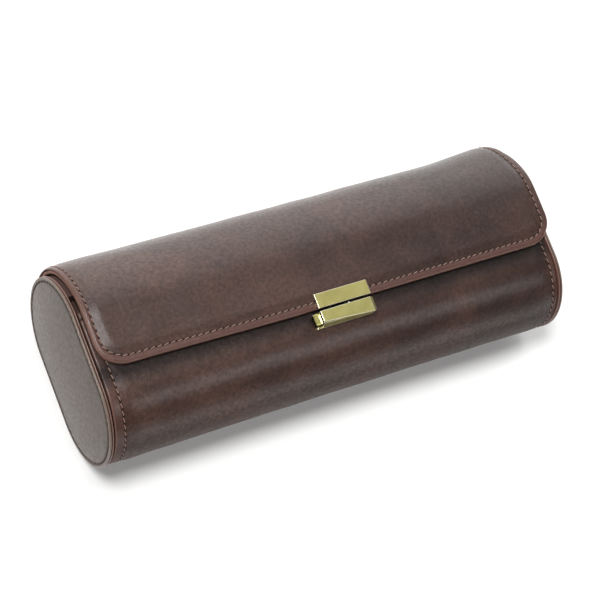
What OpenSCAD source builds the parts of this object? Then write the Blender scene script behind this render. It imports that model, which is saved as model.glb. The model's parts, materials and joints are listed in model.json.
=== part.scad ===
// Watch travel case: a rigid leather roll with two end discs, a wrapped base, a hinged flap and a push lock.
// X runs along the case, Y from the rounded front to the hinge, and Z up through the face with the lock.
// The origin is the middle of the footprint, on the flat back that the case lies on.

/* [Case] */
// Length over the two end discs
case_l = 220; // [180:1:280]
// Depth of an end disc, from the front rounding to the hinge rounding
disc_w = 80.6; // [78:0.2:100]
// Height of an end disc
disc_h = 50.8; // [48:0.2:62]

/* [End discs] */
// Outer leather of an end disc
end_leather_t = 0.8; // [0.6:0.1:1.6]
// Thin card inside an end disc
end_board_t = 0.4; // [0.3:0.1:1.5]
// Inner leather of an end disc
end_inner_t = 0.5; // [0.4:0.1:1.2]
// Wooden former that the base is glued round
former_t = 3; // [2:0.2:6]
// Suede facing inside the former
facing_t = 0.8; // [0.5:0.1:1.5]
// Gap between an end disc and the cut end of the base
end_gap = 1; // [0.3:0.1:1.4]
// How far the rim of a former stays under the outline of its end disc
rim_gap = 0.5; // [0.3:0.1:1.5]
// Angle past the top of the hinge rounding where that rim starts
rim_deg = 23; // [15:1:45]

/* [Base] */
// Outer leather of the base
base_leather_t = 1.4; // [1:0.1:2.4]
// Board core of the base
base_board_t = 2; // [1.4:0.1:3]
// Suede lining of the base
base_lining_t = 0.8; // [0.4:0.1:1.4]
// Reach of the base's lip past the middle, towards the hinge
lip_y = 16.9; // [12:0.1:20]

/* [Flap] */
// How much shorter the flap is than the case, at each end
flap_inset = 2; // [1.9:0.1:6]
// How far the flap sits to the right of the middle
flap_shift = 1.8; // [0:0.1:1.8]
// Reach of the flap's front edge past the middle, towards the front
flap_front = 9.3; // [8:0.1:12]
// Radius of the flap's front corners
flap_corner_r = 12; // [6:0.5:20]
// Air between the base and the closed flap
flap_gap = 0.5; // [0.3:0.1:1]
// Outer leather of the flap
flap_leather_t = 1.2; // [1:0.1:2]
// Board core of the flap
flap_board_t = 1.2; // [1:0.1:2.4]
// Suede lining of the flap
flap_lining_t = 0.7; // [0.4:0.1:1.2]

/* [Hinge] */
// Angle of the fold line below the middle of the hinge rounding
hinge_deg = 31; // [26:1:36]
// Free width of the leather hinge, from the base's edge to the flap's edge
hinge_free = 6; // [5:0.5:9]
// Leather of the hinge
hinge_leather_t = 1.2; // [0.8:0.1:1.6]
// Suede under the hinge leather
hinge_lining_t = 0.6; // [0.3:0.1:1]
// Width of the hinge leather that is sewn to the base
hinge_lap = 14; // [8:0.5:16]

/* [Dividers and cushions] */
// Thickness of a divider between two watches
divider_t = 2.6; // [1.6:0.2:5]
// Length of a watch cushion along the case
cushion_l = 58; // [36:1:60]
// Depth of a watch cushion
cushion_w = 45; // [36:1:46]
// Height of a watch cushion
cushion_h = 39; // [30:0.2:39.6]
// Gap between a cushion and the lining that it rests on
cushion_seat = 0.3; // [0.1:0.1:0.6]

/* [Lock] */
// How far the lock sits to the right of the flap's middle
lock_shift = 0.6; // [-20:0.1:20]
// Length of the lock's box and of the hasp plate
lock_l = 25; // [22:0.5:32]
// Width of the lock's box
lock_w = 6.7; // [6.4:0.1:9]
// Wall of the lock's box
lock_wall = 1; // [0.7:0.1:1.2]
// Plate under the lock's box
lock_plate_t = 1; // [0.6:0.1:1.4]
// Solid end of the lock's box that takes a rivet
lock_block = 2.8; // [2.6:0.1:4]
// Travel of the push button
lock_travel = 3; // [2:0.1:3.2]
// Running clearance round the slide
slide_clear = 0.2; // [0.1:0.05:0.3]
// Length of the push button block
button_l = 7.6; // [6.5:0.1:9]
// Width of the catch on the slide
catch_l = 2.2; // [1.6:0.1:2.6]
// Height of the catch on the slide
catch_h = 1.4; // [1:0.1:1.6]
// Gap between the catch and the tongue of the hasp
catch_gap = 0.3; // [0.2:0.1:0.5]
// Wire of the lock's spring
spring_wire = 0.35; // [0.25:0.05:0.45]
// Mean radius of the lock's spring
spring_r = 0.9; // [0.7:0.05:1]
// Number of turns of the lock's spring
spring_turns = 5; // [4:1:6]

/* [Hasp] */
// Width of the hasp plate
hasp_w = 6.6; // [5:0.1:9]
// Thickness of the hasp plate
hasp_t = 1; // [0.8:0.1:1.6]
// Gap between the hasp plate and the lock's box
hasp_gap = 0.5; // [0.3:0.1:0.8]
// Length of the tongue under the hasp plate
tongue_l = 8; // [5:0.5:9]
// Thickness of the tongue
tongue_t = 0.8; // [0.6:0.1:1.2]
// Plate inside the board that a rivet is closed on
back_plate_t = 0.6; // [0.4:0.1:0.8]
// Radius of a rivet
rivet_r = 0.8; // [0.6:0.05:1]

/* [Hidden] */

leather = "#5c4842";
edge_brown = "#7a5750";
board = "#9c8a72";
suede = "#8a6a52";
brass = "#b5ab6c";
steel = "#a8a8a6";

fine = 96;              // facets of a large round
small = 32;             // facets of a rivet
far = 400;              // longer than any case
over = 1;               // how far a cut runs past a face
glue = 0.04;            // glue line between two layers
rivet_clear = 0.05;     // gap round a rivet

// Cross-section: a stadium, two roundings joined by flat faces
round_r = disc_h / 2;
round_y = (disc_w - disc_h) / 2;
flap_top = flap_gap + flap_lining_t + glue + flap_board_t + glue + flap_leather_t;
case_y = -flap_top / 2;
case_z = round_r;

// Layers, as distances from the disc's outline, outwards positive
base_board_top = -base_leather_t - glue;
base_board_low = base_board_top - base_board_t;
base_lining_top = base_board_low - glue;
base_lining_low = base_lining_top - base_lining_t;
flap_lining_top = flap_gap + flap_lining_t;
flap_board_low = flap_lining_top + glue;
flap_board_top = flap_board_low + flap_board_t;
flap_leather_low = flap_board_top + glue;

// Lengths
flap_l = case_l - 2 * flap_inset;
disc_t = end_leather_t + end_board_t + end_inner_t + 2 * glue;
base_half = case_l / 2 - disc_t - end_gap;
former_out = case_l / 2 - disc_t;
facing_out = former_out - former_t - glue;
inside_half = facing_out - facing_t;
cell_l = (2 * inside_half - 2 * divider_t) / 3;
inner_off = base_lining_low - glue;

// Hinge
hinge_low = 0.1;        // gap between the base's leather and the hinge leather on it
hinge_mid = round_r + hinge_low + hinge_leather_t / 2;
half_free = hinge_free / 2 / hinge_mid * 180 / PI;
base_end = hinge_deg + half_free;
flap_end = hinge_deg - half_free;
lap_end = base_end + hinge_lap / hinge_mid * 180 / PI;
hinge_steps = 14;

// Lock, measured from its own middle and from the base's leather
lock_x = flap_shift + lock_shift;
hasp_top = flap_top + hasp_t;
edge_clear = 0.2;       // gap between the flap's edge and the tongue in front of it
tongue_y = -flap_front - edge_clear - tongue_t;
lock_y = tongue_y - hasp_gap - lock_w;
lock_end_x = lock_l / 2 + 0.6;      // right end of the box, with its bevel
lock_bevel = 1.2;                   // corner bevel of the right end
facet_l = 1.7;                      // length of the slope at the right end
facet_h = 1.1;                      // drop of that slope
lock_foot = 2;                      // how far the plate reaches under the button
cavity_end = lock_end_x - lock_block;
cavity_w = lock_w - 2 * lock_wall;
cavity_top = hasp_top - lock_wall;
slide_w = cavity_w - 2 * slide_clear;
slide_low = lock_plate_t + slide_clear;
slide_h = cavity_top - slide_clear - slide_low;
slide_y = lock_y + lock_wall + slide_clear;
button_out = lock_travel + 0.3;     // how far the button stands out at rest
button_x = -lock_l / 2 - button_out;
tongue_x = -6;                      // left end of the tongue
catch_x = tongue_x + tongue_l + catch_gap;
catch_end = catch_x + catch_l;
catch_tip = tongue_y + tongue_t - 0.2;
catch_low = slide_low + (slide_h - catch_h) / 2;
notch_l = 1.2;                      // bite of the tongue's notch
window_clear = 0.2;
spring_gap = 0.15;
rivet_y = lock_y + lock_w / 2;
left_rivet_x = -lock_l / 2 - lock_foot / 2 - 0.1;
right_rivet_x = cavity_end + lock_block / 2;
hasp_rivet_x = lock_l / 2 - 3.5;
hasp_rivet_y = tongue_y + hasp_w - 2.4;
rivet_grip = 2;                     // depth of the lock's blind rivet hole
hasp_grip = 0.8;                    // depth of a blind rivet hole in the hasp plate

// Cushion
cushion_y = -round_y + 3.6;
cushion_z = -round_r - inner_off + cushion_seat + cushion_h / 2;
cushion_power = 2.3;    // squareness of its section
cushion_ring = 32;
cushion_rings = 13;
cushion_end = 0.62;     // height of its drawn-in ends, as a share of the middle

module stadium(off) {
    square([2 * round_y, 2 * (round_r + off)], center = true);
    for (s = [-1, 1]) translate([s * round_y, 0]) circle(r = round_r + off, $fn = fine);
}

// Everything on the hinge side of the line at y, down to an angle below the hinge rounding
module hinge_side(y, deg) {
    polygon([
        [round_y, 0], [round_y + far * cos(deg), -far * sin(deg)],
        [far, far], [y, far], [y, 0]
    ]);
}

module ring(low, high) {
    difference() {
        stadium(high);
        stadium(low);
    }
}

// A section in Y and Z, drawn along X, in the case's own centre
module along(x0, x1) {
    translate([x0, case_y, case_z]) rotate([90, 0, 90]) linear_extrude(x1 - x0) children();
}

module base_layer(low, high) {
    along(-base_half, base_half) difference() {
        ring(low, high);
        hinge_side(lip_y, base_end);
    }
}

module at_lock() translate([lock_x, case_y, case_z + round_r]) children();

module rivet_pair(x0, x1, y, z, h, r) {
    for (x = [x0, x1]) translate([x, y, z]) cylinder(r = r, h = h, $fn = small);
}

// Rivet holes through the base's top and the lock's plates
module lock_rivet_holes() {
    at_lock() rivet_pair(left_rivet_x, right_rivet_x, rivet_y, base_lining_top,
        lock_plate_t + over - base_lining_top, rivet_r + rivet_clear);
}

module base_outer_leather() color(leather) difference() {
    base_layer(-base_leather_t, 0);
    lock_rivet_holes();
}

module base_board() color(board) difference() {
    base_layer(base_board_low, base_board_top);
    lock_rivet_holes();
    at_lock() translate([-lock_l / 2 - lock_foot - glue, lock_y - glue, base_board_low - over])
        cube([lock_l / 2 + lock_foot + lock_end_x + 2 * glue, lock_w + 2 * glue, over + back_plate_t + glue]);
}

module base_lining() color(suede) base_layer(base_lining_low, base_lining_top);

// Height of the hinge leather's underside over the base, which rises to meet the flap's leather
function rise(deg) = let(t = min(1, max(0, (base_end - deg) / (base_end - flap_end))))
    t * t * (3 - 2 * t);
function polar(off, deg) = [round_y + (round_r + off) * cos(deg), -(round_r + off) * sin(deg)];
function hinge_under(deg) = hinge_low + rise(deg) * (flap_leather_low - hinge_low);
function hinge_over(deg) = hinge_low + hinge_leather_t + rise(deg) * (flap_top - hinge_low - hinge_leather_t);
function steps(a, b, n) = [for (i = [0:n]) a + (b - a) * i / n];

module hinge_leather() {
    degs = concat(steps(lap_end, base_end, hinge_steps), steps(base_end - 1, flap_end, hinge_steps));
    back = [for (i = [len(degs) - 1:-1:0]) degs[i]];
    color(leather) along(flap_shift - flap_l / 2, base_half) polygon(concat(
        [for (d = degs) polar(hinge_over(d), d)],
        [for (d = back) polar(hinge_under(d), d)]
    ));
}

module hinge_lining() {
    degs = steps(base_end - 0.5, flap_end + 0.5, hinge_steps);
    back = [for (i = [hinge_steps:-1:0]) degs[i]];
    color(suede) along(-base_half, base_half) polygon(concat(
        [for (d = degs) polar(hinge_under(d) - glue, d)],
        [for (d = back) polar(hinge_under(d) - glue - hinge_lining_t, d)]
    ));
}

// One plate of an end, on the left when side is -1 and on the right when it is 1
module end_slab(side, outer, t) {
    along(side > 0 ? outer - t : -outer, side > 0 ? outer : t - outer) children();
}

module end_plate(side, off, outer, t) end_slab(side, outer, t) stadium(off);

// A former also closes the end under the flap, from behind the lip down to the hinge
module former_outline() {
    stadium(inner_off);
    intersection() {
        stadium(-rim_gap);
        polygon([
            [round_y, 0], [round_y + far * cos(hinge_deg), -far * sin(hinge_deg)],
            [far, far], [round_y + far * sin(rim_deg), far * cos(rim_deg)]
        ]);
    }
}

module end_leather(side) color(leather) end_plate(side, 0, case_l / 2, end_leather_t);
module end_board(side) color(board) end_plate(side, 0, case_l / 2 - end_leather_t - glue, end_board_t);
module end_inner(side) color(edge_brown) end_plate(side, 0, former_out + end_inner_t, end_inner_t);
module end_former(side) color(board) end_slab(side, former_out - glue, former_t - glue) former_outline();
module end_facing(side) color(suede) end_plate(side, inner_off, facing_out, facing_t);

module divider(side) color(suede)
    translate([side * (cell_l + divider_t) / 2, 0, 0]) along(-divider_t / 2, divider_t / 2) stadium(inner_off);

function sgn_pow(v, p) = sign(v) * pow(abs(v), p);
function cushion_scale(t) = cushion_end + (1 - cushion_end) * sqrt(1 - pow(abs(t), 4));
function cushion_points() = [
    for (i = [0:cushion_rings - 1]) let(t = sin(-90 + 180 * i / (cushion_rings - 1)), s = cushion_scale(t))
        for (j = [0:cushion_ring - 1]) let(a = 360 * j / cushion_ring) [
            t * cushion_l / 2,
            cushion_y + s * cushion_w / 2 * sgn_pow(cos(a), 2 / cushion_power),
            cushion_z + s * cushion_h / 2 * sgn_pow(sin(a), 2 / cushion_power)
        ]
];
function wrap(j) = (j + 1) % cushion_ring;

module cushion(place) {
    last = (cushion_rings - 1) * cushion_ring;
    color("#94765c") translate([place * (cell_l + divider_t), case_y, case_z]) polyhedron(
        points = cushion_points(),
        faces = concat(
            [for (i = [0:cushion_rings - 2]) for (j = [0:cushion_ring - 1])
                [i * cushion_ring + j, (i + 1) * cushion_ring + wrap(j), i * cushion_ring + wrap(j)]],
            [for (i = [0:cushion_rings - 2]) for (j = [0:cushion_ring - 1])
                [i * cushion_ring + j, (i + 1) * cushion_ring + j, (i + 1) * cushion_ring + wrap(j)]],
            [[for (j = [0:cushion_ring - 1]) j]],
            [[for (j = [cushion_ring - 1:-1:0]) last + j]]
        )
    );
}

module lock_plate() color(brass) difference() {
    at_lock() translate([-lock_l / 2 - lock_foot, lock_y, 0]) cube([lock_foot + lock_l / 2 + lock_end_x - lock_bevel,
        lock_w, lock_plate_t]);
    lock_rivet_holes();
}

module lock_outline() polygon([
    [-lock_l / 2, lock_y], [lock_end_x - lock_bevel, lock_y], [lock_end_x, lock_y + lock_bevel],
    [lock_end_x, lock_y + lock_w - lock_bevel / 2], [lock_end_x - lock_bevel / 2, lock_y + lock_w],
    [-lock_l / 2, lock_y + lock_w]
]);

// The box seen from the front, with the slope at its right end
module lock_side() polygon([
    [-lock_l / 2, lock_plate_t], [lock_end_x, lock_plate_t], [lock_end_x, hasp_top - facet_h],
    [lock_end_x - facet_l, hasp_top], [-lock_l / 2, hasp_top]
]);

module lock_housing() color(brass) at_lock() difference() {
    intersection() {
        linear_extrude(hasp_top + over) lock_outline();
        translate([0, lock_y + lock_w, 0]) rotate([90, 0, 0]) linear_extrude(lock_w) lock_side();
    }
    translate([-lock_l / 2 - over, lock_y + lock_wall, lock_plate_t - over])
        cube([lock_l / 2 + over + cavity_end, cavity_w, cavity_top - lock_plate_t + over]);
    translate([catch_x - window_clear, lock_y + lock_w - lock_wall - over, catch_low - window_clear])
        cube([catch_l + lock_travel + 2 * window_clear, lock_wall + 2 * over, catch_h + 2 * window_clear]);
    translate([right_rivet_x, rivet_y, lock_plate_t - over])
        cylinder(r = rivet_r + rivet_clear, h = over + rivet_grip, $fn = small);
}

module lock_back_plate() color(steel) difference() {
    at_lock() translate([-lock_l / 2 - lock_foot, lock_y, base_board_low])
        cube([lock_l / 2 + lock_foot + lock_end_x, lock_w, back_plate_t]);
    lock_rivet_holes();
}

module lock_rivets() color(steel) at_lock() {
    translate([left_rivet_x, rivet_y, base_board_low])
        cylinder(r = rivet_r, h = lock_plate_t - base_board_low, $fn = small);
    translate([right_rivet_x, rivet_y, base_board_low])
        cylinder(r = rivet_r, h = lock_plate_t + rivet_grip - rivet_clear - base_board_low, $fn = small);
}

module push_button() color(brass) at_lock() translate([button_x, slide_y, slide_low]) cube([button_l, slide_w, slide_h]);

module slide_bar() color(steel) at_lock() {
    translate([button_x + button_l, slide_y + slide_w / 4, slide_low])
        cube([catch_end - button_x - button_l, slide_w / 2, slide_h]);
    translate([catch_x, slide_y + slide_w / 2, catch_low]) cube([catch_l, catch_tip - slide_y - slide_w / 2, catch_h]);
}

// The spring's wire, swept along a helix between the slide and the end of the box
function helix(u, sides, wire, turns, length) = [
    for (i = [0:u]) let(a = 360 * turns * i / u, x = length * i / u)
        for (j = [0:sides - 1]) let(b = 360 * j / sides, q = spring_r + wire / 2 * cos(b))
            [x + wire / 2 + wire / 2 * sin(b), q * cos(a), q * sin(a)]
];

module lock_spring() {
    sides = 6;
    u = spring_turns * 14;
    free = cavity_end - catch_end - 2 * spring_gap - spring_wire;
    next = [for (j = [0:sides - 1]) (j + 1) % sides];
    color(steel) at_lock() translate([catch_end + spring_gap, slide_y + slide_w / 2, slide_low + slide_h / 2])
        polyhedron(
            points = helix(u, sides, spring_wire, spring_turns, free),
            faces = concat(
                [for (i = [0:u - 1]) for (j = [0:sides - 1]) [i * sides + j, i * sides + next[j], (i + 1) * sides + next[j]]],
                [for (i = [0:u - 1]) for (j = [0:sides - 1]) [i * sides + j, (i + 1) * sides + next[j], (i + 1) * sides + j]],
                [[for (j = [sides - 1:-1:0]) j]],
                [[for (j = [0:sides - 1]) u * sides + j]]
            )
        );
}

// Plan of the flap, with its round front corners
module flap_plan() translate([flap_shift, case_y]) {
    translate([-flap_l / 2, flap_corner_r - flap_front]) square([flap_l, far]);
    translate([flap_corner_r - flap_l / 2, -flap_front]) square([flap_l - 2 * flap_corner_r, flap_corner_r + over]);
    for (s = [-1, 1]) translate([s * (flap_l / 2 - flap_corner_r), flap_corner_r - flap_front])
        circle(r = flap_corner_r, $fn = fine);
}

module flap_layer(low, high) intersection() {
    along(flap_shift - flap_l / 2, flap_shift + flap_l / 2) intersection() {
        ring(low, high);
        hinge_side(-flap_front, flap_end);
    }
    linear_extrude(far, center = true) flap_plan();
}

module hasp_rivet_holes() {
    at_lock() rivet_pair(-hasp_rivet_x, hasp_rivet_x, hasp_rivet_y, flap_lining_top, far / 4, rivet_r + rivet_clear);
}

module flap_outer_leather() color(leather) difference() {
    flap_layer(flap_leather_low, flap_top);
    hasp_rivet_holes();
}

module flap_board() color(board) difference() {
    flap_layer(flap_board_low, flap_board_top);
    hasp_rivet_holes();
    at_lock() translate([-lock_l / 2 - glue, tongue_y + tongue_t + edge_clear + over, flap_board_low - over])
        cube([lock_l + 2 * glue, hasp_w - tongue_t - over, over + back_plate_t + glue]);
}

module flap_lining() color(suede) flap_layer(flap_gap, flap_lining_top);

module hasp_plate() color(brass) at_lock() difference() {
    translate([-lock_l / 2, tongue_y, flap_top]) cube([lock_l, hasp_w, hasp_t]);
    rivet_pair(-hasp_rivet_x, hasp_rivet_x, hasp_rivet_y, flap_top - over, over + hasp_grip, rivet_r + rivet_clear);
}

module hasp_tongue() color(brass) at_lock() difference() {
    translate([tongue_x, tongue_y, lock_plate_t / 2]) cube([tongue_l, tongue_t, flap_top - lock_plate_t / 2]);
    translate([tongue_x + tongue_l - notch_l, tongue_y - over, catch_low - window_clear])
        cube([notch_l + over, tongue_t + 2 * over, catch_h + 2 * window_clear]);
}

module hasp_back_plate() color(steel) difference() {
    at_lock() translate([-lock_l / 2, tongue_y + tongue_t + edge_clear + over + glue, flap_board_low])
        cube([lock_l, hasp_w - tongue_t - over - 2 * glue, back_plate_t]);
    hasp_rivet_holes();
}

module hasp_rivets() color(steel) at_lock()
    rivet_pair(-hasp_rivet_x, hasp_rivet_x, hasp_rivet_y, flap_board_low,
        flap_top + hasp_grip - rivet_clear - flap_board_low, rivet_r);

base_outer_leather();
base_board();
base_lining();
hinge_leather();
hinge_lining();
end_leather(-1);  // end_left_leather
end_board(-1);  // end_left_board
end_inner(-1);  // end_left_inner
end_former(-1);  // end_left_former
end_facing(-1);  // end_left_facing
end_leather(1);  // end_right_leather
end_board(1);  // end_right_board
end_inner(1);  // end_right_inner
end_former(1);  // end_right_former
end_facing(1);  // end_right_facing
divider(-1);  // divider_left
divider(1);  // divider_right
cushion(-1);  // cushion_left
cushion(0);  // cushion_middle
cushion(1);  // cushion_right
lock_plate();
lock_housing();
lock_back_plate();
lock_rivets();
push_button();
slide_bar();
lock_spring();
flap_outer_leather();
flap_board();
flap_lining();
hasp_plate();
hasp_tongue();
hasp_back_plate();
hasp_rivets();
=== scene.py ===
import json
import math

import bmesh
import bpy
import numpy as np
from mathutils import Matrix, Vector, noise
from mathutils.bvhtree import BVHTree


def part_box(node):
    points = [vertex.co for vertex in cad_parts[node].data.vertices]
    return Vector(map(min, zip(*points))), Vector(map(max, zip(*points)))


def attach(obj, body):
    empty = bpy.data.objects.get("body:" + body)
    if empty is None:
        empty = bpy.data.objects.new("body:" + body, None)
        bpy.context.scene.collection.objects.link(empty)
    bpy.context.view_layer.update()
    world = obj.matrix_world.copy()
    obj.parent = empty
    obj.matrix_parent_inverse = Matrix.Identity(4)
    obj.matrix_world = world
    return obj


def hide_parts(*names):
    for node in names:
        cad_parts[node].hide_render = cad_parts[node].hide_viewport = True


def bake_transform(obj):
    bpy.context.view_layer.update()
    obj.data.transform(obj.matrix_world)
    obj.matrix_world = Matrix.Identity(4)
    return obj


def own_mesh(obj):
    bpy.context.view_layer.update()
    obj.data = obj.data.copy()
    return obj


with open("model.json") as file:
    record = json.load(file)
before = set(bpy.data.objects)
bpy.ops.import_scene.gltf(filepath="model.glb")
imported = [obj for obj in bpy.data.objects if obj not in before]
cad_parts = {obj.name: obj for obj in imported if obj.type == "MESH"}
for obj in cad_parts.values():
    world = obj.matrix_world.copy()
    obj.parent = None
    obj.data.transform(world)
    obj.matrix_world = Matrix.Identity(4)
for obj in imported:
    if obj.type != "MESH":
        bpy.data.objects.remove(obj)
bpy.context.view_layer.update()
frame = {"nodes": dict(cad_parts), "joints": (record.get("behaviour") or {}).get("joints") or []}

# --------------------------------------------------------------------------
# Studio: a pale floor, a room that is dim overhead with three lit panels, and a broad sun from the left.
# The camera looks down on the left end, rolled as the photograph is, through a long lens.
# --------------------------------------------------------------------------
scene = bpy.context.scene
scene.view_settings.view_transform = "Standard"

camera_place = (-0.385935, -0.153711, 0.785085)
camera_right = (0.85938, -0.36161, 0.36154)
camera_down = (-0.25333, -0.91525, -0.31327)
camera_ahead = (0.44418, 0.17763, -0.87815)
camera_lens = bpy.data.cameras.new("camera")
camera_lens.sensor_width = 36
camera_lens.lens = 122.35
camera = bpy.data.objects.new("camera", camera_lens)
scene.collection.objects.link(camera)
camera_turn = Matrix((camera_right, [-v for v in camera_down], [-v for v in camera_ahead])).transposed()
camera.matrix_world = Matrix.Translation(camera_place) @ camera_turn.to_4x4()
scene.camera = camera


def srgb(red, green, blue):
    """A colour as seen on a screen, 0 to 255, as the linear values that a shader takes."""
    linear = [v / 255 / 12.92 if v < 10.3 else ((v / 255 + 0.055) / 1.055) ** 2.4 for v in (red, green, blue)]
    return (*linear, 1)


def node(tree, kind, inputs=None, **settings):
    """A new node, its settings made, and its inputs set to values or linked to sockets."""
    new = tree.nodes.new(kind)
    for key, value in settings.items():
        setattr(new, key, value)
    for key, value in (inputs or {}).items():
        if isinstance(value, bpy.types.NodeSocket):
            tree.links.new(value, new.inputs[key])
        else:
            new.inputs[key].default_value = value
    return new


def scaled(tree, value, factor, more=0.0, clamp=False):
    """value times factor, plus more."""
    return node(tree, "ShaderNodeMath", {0: value, 1: factor, 2: more}, operation="MULTIPLY_ADD",
                use_clamp=clamp).outputs[0]


def stepped(tree, value, low, high, first=0.0, last=1.0, kind="SMOOTHSTEP"):
    """first where value is below low and last above high, with a step between."""
    return node(tree, "ShaderNodeMapRange", {
        "Value": value, "From Min": low, "From Max": high, "To Min": first, "To Max": last},
        interpolation_type=kind).outputs[0]


def new_material(name):
    """An empty material and its node tree."""
    made = bpy.data.materials.new(name)
    made.use_nodes = True
    made.node_tree.nodes.clear()
    return made, made.node_tree


floor_colour = srgb(240, 240, 239)
floor_lift = 0.15               # lifts the lit floor to white in the picture and leaves the shadow on it
mirrored_lift = 0.5             # the share of that lift which the brass and the wax mirror
floor_material, tree = new_material("studio_floor")
path = node(tree, "ShaderNodeLightPath").outputs
seen_ray = scaled(tree, path["Is Glossy Ray"], mirrored_lift, path["Is Camera Ray"])
diffuse = node(tree, "ShaderNodeBsdfDiffuse", {"Color": floor_colour})
lift = node(tree, "ShaderNodeEmission", {"Strength": scaled(tree, seen_ray, floor_lift)})
both = node(tree, "ShaderNodeAddShader", {0: diffuse.outputs[0], 1: lift.outputs[0]})
node(tree, "ShaderNodeOutputMaterial", {"Surface": both.outputs[0]})

floor_half = 6.0
floor_corners = [(x * floor_half, y * floor_half, 0) for x, y in ((-1, -1), (1, -1), (1, 1), (-1, 1))]
floor_mesh = bpy.data.meshes.new("floor")
floor_mesh.from_pydata(floor_corners, [], [(0, 1, 2, 3)])
floor_mesh.materials.append(floor_material)
floor = bpy.data.objects.new("floor", floor_mesh)
scene.collection.objects.link(floor)

room = bpy.data.worlds.new("studio")
scene.world = room
room.use_nodes = True
tree = room.node_tree
tree.nodes.clear()
aim = node(tree, "ShaderNodeTexCoord").outputs["Generated"]
height = node(tree, "ShaderNodeSeparateXYZ", {0: aim}).outputs["Z"]
light_sum = stepped(tree, height, 0.0, 0.35, 0.35, 0.07)
for direction, full_angle, gone_angle, strength in (
        ((0.3, 0.92, 0.22), 20, 66, 1.5),           # lights the hinge rounding
        ((0.444, -0.483, 0.755), 4, 14, 2.6),       # mirrored in the front rounding
        ((0.06, 0.178, 0.98), 2, 11, 8.0)):         # mirrored at the flap's left row
    towards = node(tree, "ShaderNodeVectorMath", {0: aim, 1: Vector(direction).normalized()},
                   operation="DOT_PRODUCT").outputs["Value"]
    share = stepped(tree, towards, math.cos(math.radians(gone_angle)), math.cos(math.radians(full_angle)))
    light_sum = scaled(tree, share, strength, light_sum)
lit = node(tree, "ShaderNodeBackground", {"Color": (1, 1, 1, 1), "Strength": light_sum})
seen = node(tree, "ShaderNodeBackground", {"Color": (1, 1, 1, 1), "Strength": 1.0})
to_camera = node(tree, "ShaderNodeLightPath").outputs["Is Camera Ray"]
mix = node(tree, "ShaderNodeMixShader", {0: to_camera, 1: lit.outputs[0], 2: seen.outputs[0]})
node(tree, "ShaderNodeOutputWorld", {"Surface": mix.outputs[0]})

key_from = Vector((-0.38, 0.16, 0.9)).normalized()
key = bpy.data.lights.new("key", "SUN")
key.energy = 2.5
key.angle = math.radians(19)
key_object = bpy.data.objects.new("key", key)
scene.collection.objects.link(key_object)
key_object.rotation_euler = key_from.to_track_quat("Z", "Y").to_euler()

# --------------------------------------------------------------------------
# Base cover: one panel of waxed brown leather, wrapped from the hinge under the back, round the
# front and over the lock face to a free lip. It is glued to its board, and sewn along the ends
# and the lip, where the thread draws it into a shallow groove. Its cut edges are burnished.
# --------------------------------------------------------------------------
MM = 0.001
disc_low, disc_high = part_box("end_left_leather")
round_r = (disc_high[2] - disc_low[2]) / 2 / MM
round_y = (disc_high[1] - disc_low[1]) / 2 / MM - round_r
case_y = (disc_high[1] + disc_low[1]) / 2 / MM
base_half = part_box("base_outer_leather")[1][0] / MM
hinge_joint = next(j for j in frame["joints"] if j["name"] == "flap_hinge")
flap_low, flap_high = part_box("flap_outer_leather")
flap_top = flap_high[2] / MM - 2 * round_r
hinge_place = [v / MM for v in hinge_joint["pos_m"]]
hinge_y, hinge_z = hinge_place[1] - case_y - round_y, round_r - hinge_place[2]
fold_angle = math.atan2(hinge_z, hinge_y)
flap_end_angle = math.asin((round_r - flap_low[2] / MM) / (round_r + flap_top))
base_end_angle = 2 * fold_angle - flap_end_angle

leather_t = 1.4
lip_reach = 16.9                # the lip's distance past the middle, towards the hinge
front_t = round_y + math.pi * round_r
start_t = -round_y - round_r * math.asin((lip_reach - round_y) / round_r)
end_t = front_t + 2 * round_y + round_r * (math.pi / 2 - base_end_angle)


def case_frame(t):
    """Points and outward normals, in Y and Z, of the disc's outline at a length t from its top middle.
    Lengths grow over the front rounding and shrink over the hinge rounding."""
    t = np.asarray(t, float)
    back_end = front_t + 2 * round_y
    stretches = [t < -round_y, t <= round_y, t < front_t, t <= back_end]
    angle = np.select(stretches, [(t + round_y) / round_r, 0 * t, (t - round_y) / round_r, np.pi + 0 * t],
                      np.pi + (t - back_end) / round_r)
    centre = np.select(stretches, [round_y + 0 * t, -t, -round_y + 0 * t, -round_y + t - front_t], round_y)
    normal = np.stack([-np.sin(angle), np.cos(angle)], -1)
    return np.stack([centre, 0 * t], -1) + round_r * normal, normal


def on_case(x, t, off):
    """Places in metres, at x along the case, t round it, and off out from the disc's outline, all in mm."""
    point, normal = case_frame(t)
    spot = point + np.asarray(off)[..., None] * normal
    return np.stack([x + 0 * t, spot[..., 0] + case_y, spot[..., 1] + round_r], -1) * MM


def insets(*stretches):
    """Distances in from an edge: 0 and then each (end, steps) stretch in even steps."""
    values = [0.0]
    for end, steps in stretches:
        values += list(np.linspace(values[-1], end, steps + 1)[1:])
    return values


edge_insets = insets((0.4, 4), (1.2, 3), (2.2, 3), (5.4, 13), (9, 5), (12, 3))


def span(low, high, low_insets, high_insets, step):
    """Places from low to high: close together near the ends, as the insets say, and a step apart between."""
    left = [low + d for d in low_insets]
    right = [high - d for d in reversed(high_insets)]
    count = max(2, int(round((right[0] - left[-1]) / step)))
    return np.array(left + list(np.linspace(left[-1], right[0], count + 1)[1:-1]) + right)


def finish_mesh(name, mesh, smooth=True):
    """An object for the mesh, with its faces turned outwards and shaded smooth."""
    work = bmesh.new()
    work.from_mesh(mesh)
    bmesh.ops.recalc_face_normals(work, faces=work.faces)
    work.to_mesh(mesh)
    work.free()
    mesh.polygons.foreach_set("use_smooth", [smooth] * len(mesh.polygons))
    mesh.update()
    made = bpy.data.objects.new(name, mesh)
    scene.collection.objects.link(made)
    return made


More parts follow.
